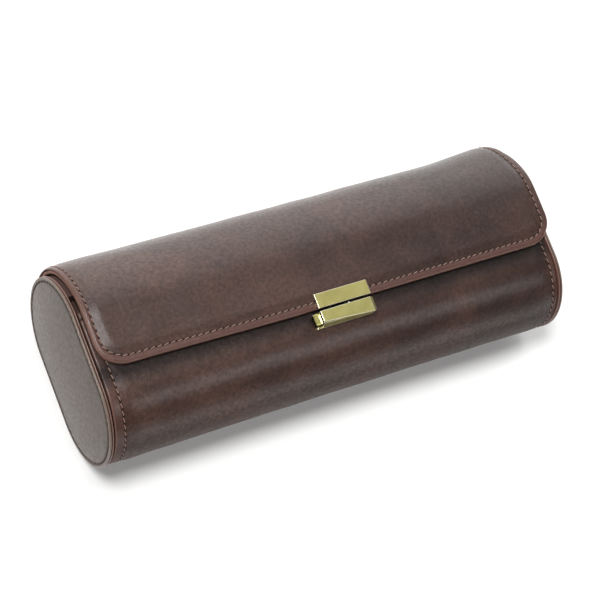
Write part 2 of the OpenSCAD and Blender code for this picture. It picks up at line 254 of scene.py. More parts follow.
def mark_points(mesh, marks):
    """Writes a number for each point of the mesh, for its material to read, under each name."""
    for label, values in marks.items():
        attribute = mesh.attributes.new(label, "FLOAT", "POINT")
        attribute.data.foreach_set("value", values.astype(np.float32))


def panel(name, x_places, t_places, high, low, corner=0.0, warp=None, marks=None):
    """A closed leather or cloth panel on the case. high and low give how far out its two faces lie, from the
    place and its distance to the edge. corner is the radius of the two corners at its start, which its rows
    and columns follow as arcs. marks gives how far each place lies in the border outside the sewing, how
    close to a sewn row, how dark its painted shadow is, and how far its wax has worn off."""
    x, t = np.meshgrid(x_places, t_places)
    x0, x1, t0, t1 = x_places[0], x_places[-1], t_places[0], t_places[-1]
    side = np.where(x < (x0 + x1) / 2, -1.0, 1.0)
    to_side = np.where(side < 0, x - x0, x1 - x)
    to_start, to_end = np.abs(t - t0), np.abs(t1 - t)
    edge = np.minimum(to_side, np.minimum(to_start, to_end))
    if corner > 0:
        p, q = 1 - to_side / corner, 1 - to_start / corner
        m = np.maximum(p, q)
        inside = (p > 0) & (q > 0)
        safe = np.where(m > 0, m, 1)
        turn = np.where(p >= q, math.pi / 4 * q / safe, math.pi / 2 - math.pi / 4 * p / safe)
        centre_x = np.where(side < 0, x0 + corner, x1 - corner)
        x = np.where(inside, centre_x + side * corner * m * np.cos(turn), x)
        t = np.where(inside, t0 + np.sign(t1 - t0) * (corner - corner * m * np.sin(turn)), t)
        edge = np.where(inside, corner * (1 - m), edge)
    rows, cols = x.shape
    count = rows * cols
    high_off, low_off = high(x, t, edge), low(x, t, edge)
    border, sewn, shade, worn = marks(x, t, edge) if marks is not None else (0 * edge,) * 4
    if warp is not None:
        x, t = warp(x, t)
    points = np.concatenate([on_case(x, t, off).reshape(-1, 3) for off in (high_off, low_off)])
    grid = np.arange(count).reshape(rows, cols)
    a, b, c, d = grid[:-1, :-1], grid[:-1, 1:], grid[1:, 1:], grid[1:, :-1]
    faces = list(np.stack([a, b, c, d], -1).reshape(-1, 4))
    faces += list(np.stack([d, c, b, a], -1).reshape(-1, 4) + count)
    loop = list(grid[0, :]) + list(grid[1:, -1]) + list(grid[-1, -2::-1]) + list(grid[-2:0:-1, 0])
    faces += [(p, p + count, n + count, n) for p, n in zip(loop, loop[1:] + loop[:1])]
    mesh = bpy.data.meshes.new(name)
    mesh.from_pydata(points.tolist(), [], [tuple(int(v) for v in f) for f in faces])
    marked = {"edge_mm": edge, "border": border, "sewn": sewn, "shade": shade, "worn": worn}
    mark_points(mesh, {label: np.tile(values.ravel(), 2) for label, values in marked.items()})
    return finish_mesh(name, mesh)


def smooth_step(value):
    value = np.clip(value, 0, 1)
    return value * value * (3 - 2 * value)


def round_edge(edge, radius):
    """How far a face drops near its cut edge, where it is rounded."""
    reach = np.clip(radius - edge, 0, radius)
    return radius - np.sqrt(np.maximum(radius ** 2 - reach ** 2, 0))


def groove(distance, width=0.55):
    """The hollow that a sewn row draws, 1 along the row."""
    return np.exp(-(distance / width) ** 2)


def waviness(x, t, size, depth):
    """Slow unevenness of hand-finished leather, in mm."""
    flat = [noise.noise((a / size, b / size, size)) for a, b in zip(x.ravel(), t.ravel())]
    return depth * np.array(flat).reshape(x.shape)


stitch_left, stitch_right, stitch_lip = 4.1, 2.2, 3.0
waist = 0.45                    # how far the front rounding draws in, half way along
groove_depth = 0.15
mark_width = 0.42               # of the dark line along a sewn row: wax and grime in its groove, and painted shade
base_edge_round = 0.6
base_pressed, pressed_fade = 0.35, 5.0      # the leather is pressed down outside its end rows
lain_flat, lain_angle = 0.12, 2.7           # the back is pressed flat from that angle on, where it lies
worn_from, worn_fade = 34.0, 12.0           # the wax has worn off the lower front and the back
flap_shadow_from, flap_shadow_fade = 10.0, 8.5          # painted shadow: the leather is darker along the flap's edge, where the flap shades it
flap_shadow_under = 0.3                           # and this much of that under the flap


def past_end_rows(x):
    """How far inside the nearer end row a place lies."""
    return np.minimum(x + base_half - stitch_left, base_half - stitch_right - x)


def base_high_face(x, t, edge):
    angle = np.clip((t - round_y) / round_r, 0, math.pi)
    drawn_in = waist * np.sin(angle) ** 2 * (1 - (x / base_half) ** 2)
    rows = groove(x + base_half - stitch_left) + groove(base_half - x - stitch_right)
    dip = groove_depth * np.minimum(rows + groove(np.abs(t - start_t) - stitch_lip), 1)
    pressed = base_pressed * (1 - smooth_step(past_end_rows(x) / pressed_fade))
    lying = smooth_step((t - round_y - lain_angle * round_r) / 8)
    wave = waviness(x, t, 14, 0.16) * np.clip(edge / 3, 0, 1) - lain_flat * lying
    return wave - drawn_in - dip - pressed - round_edge(edge, base_edge_round)


def base_low_face(x, t, edge):
    return -leather_t + round_edge(edge, 0.2)


def base_marks(x, t, edge):
    to_row = np.minimum(np.abs(x + base_half - stitch_left), np.abs(base_half - x - stitch_right))
    to_row = np.minimum(to_row, np.abs(np.abs(t - start_t) - stitch_lip))
    border = 0.5 - 0.5 * smooth_step(past_end_rows(x) / 1.2 + 0.5)
    # painted shadow of the flap's edge on the base, weaker under the flap
    flap_shadow = 1 - smooth_step((t - flap_shadow_from) / flap_shadow_fade)
    flap_shadow = flap_shadow * (flap_shadow_under + (1 - flap_shadow_under) * smooth_step((t - 2) / 7))
    return border, groove(to_row, mark_width), flap_shadow, smooth_step((t - worn_from) / worn_fade)


base_cover = panel(
    "base_cover",
    span(-base_half, base_half, edge_insets, edge_insets, 2.2),
    span(start_t, end_t, edge_insets, insets((0.4, 4), (1.5, 3)), 1.5),
    base_high_face, base_low_face, marks=base_marks)


def shader_group(name, numbers, results):
    """A shader node group that takes a Vector and some numbers: its tree and its inputs."""
    group = bpy.data.node_groups.new(name, "ShaderNodeTree")
    group.interface.new_socket("Vector", in_out="INPUT", socket_type="NodeSocketVector")
    for label, value in numbers.items():
        socket = group.interface.new_socket(label, in_out="INPUT", socket_type="NodeSocketFloat")
        socket.default_value = value
    for label in results:
        group.interface.new_socket(label, in_out="OUTPUT", socket_type="NodeSocketFloat")
    return group, group.nodes.new("NodeGroupInput").outputs


def cloudy(tree, where, scale, detail=2.0, roughness=0.5, distortion=0.0):
    """A cloudy pattern, 0 to 1."""
    return node(tree, "ShaderNodeTexNoise", {
        "Vector": where, "Scale": scale, "Detail": detail, "Roughness": roughness,
        "Distortion": distortion}).outputs["Fac"]


# The grain of the hide: creases between pores, slow mottling of the wax and fine specks
hide_grain, given = shader_group("hide_grain", {"Pores": 900.0, "Mottle Size": 32.0},
                                 ("Height", "Mottle", "Specks"))
bend = node(hide_grain, "ShaderNodeTexNoise", {"Vector": given["Vector"], "Scale": 260.0, "Detail": 2.0})
bent = node(hide_grain, "ShaderNodeVectorMath", {
    0: bend.outputs["Color"], 1: (0.0012, 0.0012, 0.0012), 2: given["Vector"]}, operation="MULTIPLY_ADD")
cells = node(hide_grain, "ShaderNodeTexVoronoi", {"Vector": bent.outputs[0], "Scale": given["Pores"]},
             feature="DISTANCE_TO_EDGE")
creases = stepped(hide_grain, cells.outputs["Distance"], 0.0, 0.16)
folds = cloudy(hide_grain, given["Vector"], 150.0, 5.0, 0.62)
patches = cloudy(hide_grain, given["Vector"], given["Mottle Size"], 5.0, 0.6, 0.5)
specks = cloudy(hide_grain, given["Vector"], 620.0, 3.0, 0.7)
node(hide_grain, "NodeGroupOutput", {
    "Height": scaled(hide_grain, creases, 0.42, scaled(hide_grain, folds, 1.5)),
    "Mottle": stepped(hide_grain, patches, 0.3, 0.7, kind="LINEAR"),
    "Specks": stepped(hide_grain, specks, 0.35, 0.65, kind="LINEAR")})

BLACK = (0, 0, 0, 1)


def mixed(tree, share, first, second):
    """A colour that goes from first to second as share goes from 0 to 1."""
    return node(tree, "ShaderNodeMix", {"Factor": share, 6: first, 7: second}, data_type="RGBA").outputs[2]


def point_mark(tree, label):
    """What mark_points or a bevel wrote under that name."""
    return node(tree, "ShaderNodeAttribute", attribute_name=label).outputs["Fac"]


def object_place(tree):
    return node(tree, "ShaderNodeTexCoord").outputs["Object"]


def bumped(tree, height, distance, strength=0.6):
    return node(tree, "ShaderNodeBump", {
        "Height": height, "Distance": distance, "Strength": strength}).outputs[0]


def end_in_shader(tree, inputs):
    """Ends a material in a Principled shader with these inputs."""
    shader = node(tree, "ShaderNodeBsdfPrincipled", inputs)
    node(tree, "ShaderNodeOutputMaterial", {"Surface": shader.outputs[0]})


def leather(name, dark, light, border, cut, coat=0.85, turn=2.8, relief=1.0, speck=0.12):
    """Waxed leather: mottled between dark and light, burnished outside its sewn rows, and paler on its cut
    edge. It is a little darker towards +X, by turn, as painted shade on the side away from the light,
    darker along its sewn rows, by wax, grime and painted shade, and darker where its shade mark says, as
    painted shadow."""
    made, tree = new_material(name)
    where = object_place(tree)
    grain = node(tree, "ShaderNodeGroup", {"Vector": where}, node_tree=hide_grain).outputs
    sewn, painted_shadow, worn = (point_mark(tree, label) for label in ("sewn", "shade", "worn"))
    along = node(tree, "ShaderNodeSeparateXYZ", {0: where}).outputs["X"]
    # painted shade: darker towards +X, the side away from the light, by turn
    hide = mixed(tree, scaled(tree, along, -turn, grain["Mottle"], clamp=True), dark, light)
    hide = mixed(tree, scaled(tree, grain["Specks"], speck), hide, BLACK)
    hide = mixed(tree, scaled(tree, point_mark(tree, "border"), 0.7), hide, border)
    hide = mixed(tree, stepped(tree, point_mark(tree, "edge_mm"), 0.15, 0.55, 1.0, 0.0), hide, cut)
    # darker along the sewn rows: wax and grime, and painted shade in the groove
    hide = mixed(tree, scaled(tree, sewn, 0.72), hide, BLACK)
    # painted shadow, where the shade mark says
    hide = mixed(tree, scaled(tree, painted_shadow, 0.82), hide, BLACK)
    rough = scaled(tree, grain["Mottle"], 0.1, 0.3)
    wax = coat
    for mark, rougher, less_wax in ((grain["Specks"], 0.1, 0.25), (painted_shadow, 0.14, 0.65),
                                    (worn, 0.14, 0.9), (sewn, 0.3, 1.0)):
        rough = scaled(tree, mark, rougher, rough)
        wax = scaled(tree, mark, -less_wax, wax, clamp=True)
    end_in_shader(tree, {
        "Base Color": hide, "Roughness": rough, "Normal": bumped(tree, grain["Height"], 0.00014, relief),
        "Specular IOR Level": 0.3, "Coat Weight": wax, "Coat Roughness": 0.28})
    return made


outer_leather = leather("outer_leather", srgb(53, 31, 24), srgb(88, 59, 48), srgb(92, 56, 47),
                        srgb(130, 96, 84), speck=0.48)
base_cover.data.materials.append(outer_leather)
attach(base_cover, "case")
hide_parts("base_outer_leather")

# --------------------------------------------------------------------------
# Flap cover: the flap's leather and the leather hinge are one panel. It lies over the flap's board,
# turns in between the flap and the base as the fold, and its end is sewn flat to the base's back.
# --------------------------------------------------------------------------
flap_left, flap_right = flap_low[0] / MM, flap_high[0] / MM
flap_front = case_y - flap_low[1] / MM
flap_corner = 12.0
flap_leather_t, hinge_leather_t = 1.2, 1.2
lap_lift = 0.1
hinge_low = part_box("hinge_leather")[0]
lap_end_angle = math.asin((round_r - hinge_low[2] / MM) / (round_r + lap_lift + hinge_leather_t))


def hinge_t(angle):
    """The length round the case of an angle below the middle of the hinge rounding, on the hinge side."""
    return -round_y - round_r * (math.pi / 2 + angle)


lap_end_t, fold_start_t, fold_end_t = (hinge_t(a) for a in (lap_end_angle, flap_end_angle, base_end_angle))
flap_stitch = 2.9
lap_stitch = 2.6                # of the two rows that hold the hinge to the base's back
left_stitch = 2.1               # the row lies closer to the left end, which is cut a little short
pillow = 0.55                   # rise of the leather inside its sewn row
flap_edge_round = 0.95
slack = 0.75                    # how much flatter the flap lies over the hinge
slack_left = 0.3                # and how much less so at its left end
full = 1.8                      # how much fuller it gets over the hinge towards its right end
corner_lift, edge_bow = 1.2, 0.35
right_reach, corner_reach = 1.0, 0.5        # how far its right end is stretched past the board


def fold(t):
    """1 on the flap and 0 on the base, with the fold between."""
    return smooth_step((t - fold_end_t) / (fold_start_t - fold_end_t))


def hang(x, t):
    """How far the leather stands off its board over the hinge, where it is a little slack or full."""
    over = smooth_step((t - fold_start_t) / 12)
    flatter = (slack - slack_left * (1 - smooth_step((x + 110) / 60))) * (1 - smooth_step((t + 32) / 20))
    fuller = full * smooth_step((x - 74) / 36) * (1 - smooth_step((t + 50) / 22))
    return over * (fuller - flatter)


def flap_high_face(x, t, edge):
    top = lap_lift + hinge_leather_t + fold(t) * (flap_top - lap_lift - hinge_leather_t)
    row = groove(edge - flap_stitch) * (t > fold_start_t + 1)
    lap_rows = groove(t - lap_end_t - lap_stitch) + groove(fold_end_t - lap_stitch - t)
    rise = pillow * (smooth_step((edge - flap_stitch) / 4) - 0.5) * fold(t)
    wave = waviness(x, t, 13, 0.18) * np.clip(edge / 4, 0, 1)
    dip = groove_depth * np.minimum(row + lap_rows * (t < fold_end_t), 1)
    return top + rise + wave + hang(x, t) - dip - round_edge(edge, flap_edge_round)


def flap_low_face(x, t, edge):
    return lap_lift + fold(t) * (flap_top - flap_leather_t - lap_lift) + round_edge(edge, 0.25)


def flap_marks(x, t, edge):
    on_flap = smooth_step((t - fold_start_t) / 3)
    lap_rows = np.minimum(np.abs(t - lap_end_t - lap_stitch), np.abs(fold_end_t - lap_stitch - t))
    sewn = groove(edge - flap_stitch, mark_width) * on_flap + groove(lap_rows, mark_width) * (t < fold_end_t)
    at_right = smooth_step((x - flap_right + 6) / 3) * smooth_step((flap_front - 4 - t) / 4)
    border = (1 - smooth_step((edge - flap_stitch) / 1.2 + 0.5)) * on_flap * (1 - 0.7 * at_right)
    return border, sewn, 0 * edge, 0 * edge


def flap_cut(x, t):
    """The flap as it was really cut: its row closer to the left end, its front edge a little bowed, and its
    right end stretched over the front, and drawn in to the base's length over the hinge."""
    end = base_half + (flap_right - base_half) * smooth_step((t - fold_start_t) / 32)
    share = np.clip((x - base_half + 15) / (flap_right - base_half + 15), 0, 1)
    from_left = x - flap_left
    closer = (flap_stitch - left_stitch) * np.minimum(from_left / flap_stitch, 1)
    closer = closer * (1 - smooth_step((from_left - flap_stitch) / 12))
    reach = right_reach * smooth_step((x - 80) / 25) + corner_reach * smooth_step((x - 106.5) / 3)
    new_x = x + (end - flap_right) * share - closer + reach * smooth_step((t + 38) / 22)
    bow = edge_bow - corner_lift * smooth_step((-x - 15) / 85)
    return new_x, t + bow * smooth_step((t + 8) / 14)


flap_rows = span(-flap_front, -lap_end_t, edge_insets, insets((0.4, 4), (1.8, 3), (5, 8)), 1.1)
flap_cover = panel(
    "flap_cover",
    span(flap_left, flap_right, edge_insets, edge_insets, 2.2),
    -flap_rows, flap_high_face, flap_low_face, corner=flap_corner, warp=flap_cut, marks=flap_marks)
flap_cover.data.materials.append(outer_leather)


def across_fold(piece):
    """Bakes the placement of a piece of the hinge into its mesh."""
    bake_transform(piece)


across_fold(flap_cover)
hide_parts("flap_outer_leather", "hinge_leather")

# --------------------------------------------------------------------------
# Flap board and lining: a pressed board, cut a little smaller than the leather, and a suede lining that
# is sewn through with the cover. The lining's rim is turned up, and hides the board's edge.
# --------------------------------------------------------------------------
lining_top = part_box("flap_lining")[1][2] / MM - 2 * round_r
board_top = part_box("flap_board")[1][2] / MM - 2 * round_r
flap_gap = 0.5
glue = 0.04                     # between two layers
board_inset = 1.2
turned_up = 0.5                 # how far the lining's edge is turned up round the board


def fibre_board(name, dark, light):
    """Pressed fibre board: short mixed fibres, dull."""
    made, tree = new_material(name)
    fibres = cloudy(tree, object_place(tree), 900.0, 6.0, 0.75)
    end_in_shader(tree, {
        "Base Color": mixed(tree, fibres, dark, light), "Roughness": scaled(tree, fibres, 0.2, 0.75),
        "Normal": bumped(tree, fibres, 0.0001), "Specular IOR Level": 0.2})
    return made


board = fibre_board("board", srgb(48, 37, 31), srgb(74, 58, 48))
board_insets = insets((1, 2), (11.45, 8))
flap_board = panel(
    "flap_board",
    span(flap_left + board_inset, flap_right - board_inset, board_insets, board_insets, 4),
    -span(-flap_front + board_inset, -fold_start_t - 0.4, board_insets, insets((1, 1)), 2),
    lambda x, t, edge: board_top + 0 * edge, lambda x, t, edge: lining_top + glue + 0 * edge,
    corner=flap_corner - board_inset, warp=flap_cut)
flap_board.data.materials.append(board)
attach(flap_board, "flap")
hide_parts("flap_board")

# The nap of microfibre: streaks where it was brushed, and the pile itself
suede_nap, given = shader_group("suede_nap", {}, ("Streaks", "Pile", "Height"))
nap = cloudy(suede_nap, given["Vector"], 70.0, 4.0, distortion=0.8)
pile = cloudy(suede_nap, given["Vector"], 2200.0)
node(suede_nap, "NodeGroupOutput", {
    "Streaks": stepped(suede_nap, nap, 0.36, 0.64, kind="LINEAR"), "Pile": pile,
    "Height": scaled(suede_nap, nap, 0.5, pile)})


def suede(name, dark, light, painted_edge=None):
    """Napped microfibre, brushed lighter and darker, with a painted cut edge where asked."""
    made, tree = new_material(name)
    nap = node(tree, "ShaderNodeGroup", {"Vector": object_place(tree)}, node_tree=suede_nap).outputs
    colour = mixed(tree, nap["Streaks"], dark, light)
    colour = mixed(tree, scaled(tree, nap["Pile"], 0.15), colour, BLACK)
    if painted_edge is not None:
        at_edge = stepped(tree, point_mark(tree, "edge_mm"), 0.5, 0.9, 1.0, 0.0)
        colour = mixed(tree, at_edge, colour, painted_edge)
    end_in_shader(tree, {
        "Base Color": colour, "Roughness": scaled(tree, nap["Streaks"], 0.08, 0.86),
        "Normal": bumped(tree, nap["Height"], 0.00012), "Specular IOR Level": 0.15,
        "Sheen Weight": 0.35, "Sheen Roughness": 0.4, "Sheen Tint": srgb(225, 200, 175)})
    return made


suede_lining = suede("suede_lining", srgb(96, 74, 58), srgb(122, 96, 77))
flap_suede = suede("flap_suede", srgb(96, 74, 58), srgb(122, 96, 77), srgb(128, 92, 82))


def lining_high(x, t, edge):
    return lining_top + turned_up * (1 - smooth_step((edge - 0.5) / 0.6)) - round_edge(edge, 0.4)


def lining_low(x, t, edge):
    return flap_gap + round_edge(edge, 0.3) + 0.12 * groove(edge - flap_stitch)


flap_lining = panel(
    "flap_lining",
    span(flap_left, flap_right, edge_insets, edge_insets, 3),
    -span(-flap_front, -fold_start_t, edge_insets, insets((0.4, 3), (2, 2)), 1.6),
    lining_high, lining_low, corner=flap_corner, warp=flap_cut)
flap_lining.data.materials.append(flap_suede)
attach(flap_lining, "flap")
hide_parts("flap_lining")

# --------------------------------------------------------------------------
# Hinge lining: a strip of the same suede glued under the fold, from the base's board to the flap's
# lining. It is shaped to the leather round the fold, and hides the raw edges of both boards.
# --------------------------------------------------------------------------
hinge_lining_t = 0.6
strip_insets = insets((0.3, 2), (2, 2))
strip_overlap = 0.15


def strip_high(x, t, edge):
    return lap_lift + fold(t) * (flap_top - flap_leather_t - lap_lift) - glue - round_edge(edge, 0.2)


def strip_low(x, t, edge):
    well_in = 9 + 0 * edge
    return strip_high(x, t, well_in) - hinge_lining_t + round_edge(edge, 0.2)


hinge_lining = panel(
    "hinge_lining",
    span(-base_half, base_half, strip_insets, strip_insets, 4),
    np.linspace(fold_start_t - strip_overlap, fold_end_t + strip_overlap, 15), strip_high, strip_low)
hinge_lining.data.materials.append(suede_lining)
across_fold(hinge_lining)
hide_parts("hinge_lining")

# --------------------------------------------------------------------------
# End discs: each is an outer leather, a thin card and an inner leather, glued and sewn together near the
# rim. The outer leather is drawn down in the sewn row, crowned inside it, and rounded at its rim.
# --------------------------------------------------------------------------
disc_stitch = 1.7
disc_crown = 1.6
disc_face = -disc_low[0] / MM


def ring_points(radius, count):
    """A stadium of that radius round the case's middle, in Y and Z, in mm."""
    half = count // 2
    turn = np.radians(np.concatenate([np.linspace(-90, 90, half), np.linspace(90, 270, half)]))
    shift = np.concatenate([np.full(half, round_y), np.full(half, -round_y)])
    return np.stack([shift + radius * np.cos(turn), radius * np.sin(turn)], -1)


def ring_faces(rings, sides, closed=False):
    """The faces between rings of points, and from the last ring to the first where it is closed."""
    faces = []
    for i in range(rings if closed else rings - 1):
        for j in range(sides):
            k, n = (j + 1) % sides, (i + 1) % rings
            faces.append((i * sides + j, i * sides + k, n * sides + k, n * sides + j))
    return faces


def disc(name, side, radius, profile, rim_count=192):
    """A closed plate round the case's middle: profile gives (distance in from the rim, place along X)."""
    rings = []
    for inset, along in profile:
        flat = ring_points(max(radius - inset, 0.05), rim_count) + (case_y, round_r)
        rings.append(np.column_stack([np.full(len(flat), side * along), flat]))
    count = len(rings[0])
    faces = ring_faces(len(rings), count)
    for start in (0, (len(rings) - 1) * count):
        for j in range(count // 2 - 1):
            faces.append((start + j, start + j + 1, start + count - 2 - j, start + count - 1 - j))
    mesh = bpy.data.meshes.new(name)
    mesh.from_pydata((np.concatenate(rings) * MM).tolist(), [], faces)
    inset = np.repeat([place for place, along in profile], count)
    # sewn darkens the disc along its row: wax and grime, and painted shade in the groove
    mark_points(mesh, {
        "edge_mm": inset, "border": 1 - smooth_step((inset - disc_stitch) / 0.8 + 0.5),
        "sewn": 0.4 * groove(inset - disc_stitch, 0.45)})
    return finish_mesh(name, mesh)


def disc_faces(name):
    """How far out along X the outer and the inner face of an end layer lie, in mm."""
    low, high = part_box(name)
    return max(abs(low[0]), abs(high[0])) / MM, min(abs(low[0]), abs(high[0])) / MM


def crowned(inset, outer):
    """Where the crowned face lies along X, at a distance in from the rim."""
    rise = disc_crown * (1 - (1 - max(inset - disc_stitch, 0) / 24) ** 2)
    return outer - 0.18 * groove(inset - disc_stitch, 0.4) + rise


def leather_profile(outer, inner):
    """From the middle of the back, round the rim, to the middle of the crowned face."""
    rim = 0.3
    points = [(round_r, inner), (8, inner), (0.4, inner), (0.12, inner + 0.03), (0, inner + 0.15)]
    points += [(0, outer - rim)]
    arc = np.radians([22, 45, 68, 90])
    points += [(rim - rim * math.cos(a), outer - rim + rim * math.sin(a)) for a in arc]
    face_insets = (0.6, 0.9, 1.15, 1.35, 1.55, 1.7, 1.85, 2.05, 2.3, 2.6, 3.2, 4, 5, 6.5, 8, 10, 13, 17, 21)
    return points + [(inset, crowned(inset, outer)) for inset in (*face_insets, round_r)]


# the end discs' leather is a paler, greyer copy of the case's leather: painted sheen
end_leather = leather("end_leather", srgb(64, 49, 38), srgb(80, 63, 49), srgb(82, 64, 54), srgb(120, 100, 88),
                      coat=0.55, turn=0, relief=0.2, speck=0.08)
edge_leather = leather("edge_leather", srgb(84, 58, 50), srgb(104, 74, 64), srgb(112, 80, 72),
                       srgb(132, 98, 88), turn=0)
for side, word in ((-1, "left"), (1, "right")):
    face = disc("end_%s_cover" % word, side, round_r, leather_profile(*disc_faces("end_%s_leather" % word)))
    face.data.materials.append(end_leather)
    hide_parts("end_%s_leather" % word)

    outer, inner = disc_faces("end_%s_board" % word)
    card = disc("end_%s_card" % word, side, round_r - 0.2,
                [(round_r, inner), (3, inner), (0, inner), (0, outer), (3, outer), (round_r, outer)])
    card.data.materials.append(board)
    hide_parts("end_%s_board" % word)

    outer, inner = disc_faces("end_%s_inner" % word)
    soft = (outer - inner) * 0.35
    backing = disc("end_%s_backing" % word, side, round_r,
                   [(round_r, inner), (3, inner), (soft, inner), (0, inner + soft), (0, outer - soft),
                    (soft, outer), (3, outer), (round_r, outer)])
    backing.data.materials.append(edge_leather)
    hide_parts("end_%s_inner" % word)
    for piece in (face, card, backing):
        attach(piece, "case")

# --------------------------------------------------------------------------
# Inside: the base's board and suede lining, the plywood formers at the ends, dark as painted shade
# in the gap by each disc, with their facings of darker suede, also painted shade, and two suede-covered
# dividers with rounded edges.
# --------------------------------------------------------------------------
# darker suede for the end facings: painted shade
shaded_facing_suede = suede("shaded_facing_suede", srgb(52, 38, 31), srgb(74, 56, 46))
# dark plywood for the formers, seen only through the gap: painted shade
plywood, tree = new_material("former_wood")
plies = node(tree, "ShaderNodeTexWave", {"Vector": object_place(tree), "Scale": 320.0, "Distortion": 1.5},
             bands_direction="X").outputs["Fac"]
end_in_shader(tree, {
    "Base Color": mixed(tree, plies, srgb(46, 28, 24), srgb(76, 49, 42)),
    "Roughness": scaled(tree, plies, 0.15, 0.6)})


def cover_nodes(material, *names):
    """Gives parts that stay as the frame has them their finish."""
    for name in names:
        frame["nodes"][name].data.materials.clear()
        frame["nodes"][name].data.materials.append(material)


cover_nodes(board, "base_board")
cover_nodes(suede_lining, "base_lining")
cover_nodes(shaded_facing_suede, "end_left_facing", "end_right_facing")
cover_nodes(plywood, "end_left_former", "end_right_former")

for word in ("left", "right"):
    low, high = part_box("divider_%s" % word)
    middle, half = (low[0] + high[0]) / 2 / MM, (high[0] - low[0]) / 2 / MM
    radius = (high[2] - low[2]) / 2 / MM
    curve = [(half - half * math.cos(a), half * math.sin(a)) for a in np.radians(np.linspace(0, 90, 6))]
    profile = [(radius, middle - half), (4, middle - half)] + [(d, middle - h) for d, h in reversed(curve)]
    profile += [(d, middle + h) for d, h in curve[1:]] + [(4, middle + half), (radius, middle + half)]
    wall = disc("divider_%s_wall" % word, 1, radius, profile, 128)
    wall.data.materials.append(suede_lining)
    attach(wall, "case")
    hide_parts("divider_%s" % word)

# --------------------------------------------------------------------------
# Watch cushions: foam rolls in a sewn suede cover, flattened a little where they lie in the case.
# The cover is swollen by a cloth simulation, and a piped seam runs round each end.
# --------------------------------------------------------------------------
cushion_suede = suede("cushion_suede", srgb(118, 93, 72), srgb(146, 118, 94))
cushion_boxes = {word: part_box("cushion_%s" % word) for word in ("left", "middle", "right")}
cushion_half = np.array([(b - a) / 2 for a, b in zip(*cushion_boxes["middle"])])
swell_room = 0.0012             # how much smaller the cover starts, and how far it may swell
swell_steps, swell_pressure = 20, 4
flatness = 2.3                  # 2 would make it round across, and more makes it squarer
end_share = 0.66                # how wide its ends are, next to its middle
rings_along, points_round = 24, 48
verts = []
for i in range(rings_along + 1):
    along = math.sin(math.pi * (i / rings_along - 0.5))
    scale = end_share + (1 - end_share) * math.sqrt(max(0, 1 - abs(along) ** 4))
    for j in range(points_round):
        a = 2 * math.pi * j / points_round
        ca, sa = math.cos(a), math.sin(a)
        verts.append((
            along * (cushion_half[0] - swell_room),
            scale * (cushion_half[1] - swell_room) * math.copysign(abs(ca) ** (2 / flatness), ca),
            scale * (cushion_half[2] - swell_room) * math.copysign(abs(sa) ** (2 / flatness), sa)))


faces = ring_faces(rings_along + 1, points_round)
faces += [tuple(range(points_round)), tuple(rings_along * points_round + j for j in range(points_round))]
cushion_mesh = bpy.data.meshes.new("cushion_form")
cushion_mesh.from_pydata(verts, [], faces)
cushion_form = finish_mesh("cushion_form", cushion_mesh)


def apply_modifiers(piece):
    """Replaces the piece's mesh by what its modifiers make of it."""
    bpy.context.view_layer.update()
    done = bpy.data.meshes.new_from_object(piece.evaluated_get(bpy.context.evaluated_depsgraph_get()))
    piece.modifiers.clear()
    piece.data = done


remesh = cushion_form.modifiers.new("remesh", "REMESH")
remesh.mode = "VOXEL"
remesh.voxel_size = 0.0025
apply_modifiers(cushion_form)
cloth = cushion_form.modifiers.new("cloth", "CLOTH")
cloth.settings.use_pressure = True
cloth.settings.uniform_pressure_force = swell_pressure
cloth.settings.effector_weights.gravity = 0
cloth.point_cache.frame_start, cloth.point_cache.frame_end = 1, swell_steps
rest = np.array([v.co for v in cushion_form.data.vertices])
for step in range(1, swell_steps + 1):
    scene.frame_set(step)
evaluated = cushion_form.evaluated_get(bpy.context.evaluated_depsgraph_get())
swollen = np.array([v.co for v in evaluated.data.vertices])
cushion_form.modifiers.clear()
scene.frame_set(1)
move = swollen - rest
length = np.linalg.norm(move, axis=1, keepdims=True)
moved = rest + move * np.minimum(1, swell_room / np.maximum(length, 1e-9))
moved = np.clip(moved, -cushion_half, cushion_half)
cushion_form.data.vertices.foreach_set("co", moved.ravel())
divide = cushion_form.modifiers.new("divide", "SUBSURF")
divide.levels = divide.render_levels = 1
apply_modifiers(cushion_form)
form_points = np.array([v.co for v in cushion_form.data.vertices])
form_faces = [tuple(p.vertices) for p in cushion_form.data.polygons]
bpy.data.objects.remove(cushion_form)


def tube(path, radius, sides=8):
    """Points and faces of a closed ring of tube along a loop of points."""
    path = np.asarray(path)
    points, count = [], len(path)
    centre = path.mean(axis=0)
    for i in range(count):
        ahead = path[(i + 1) % count] - path[i - 1]
        ahead /= np.linalg.norm(ahead)
        outward = path[i] - centre
        outward -= ahead * (outward @ ahead)
        outward /= np.linalg.norm(outward)
        across = np.cross(ahead, outward)
        for j in range(sides):
            a = 2 * math.pi * j / sides
            points.append(path[i] + radius * (outward * math.cos(a) + across * math.sin(a)))
    return points, ring_faces(count, sides, closed=True)


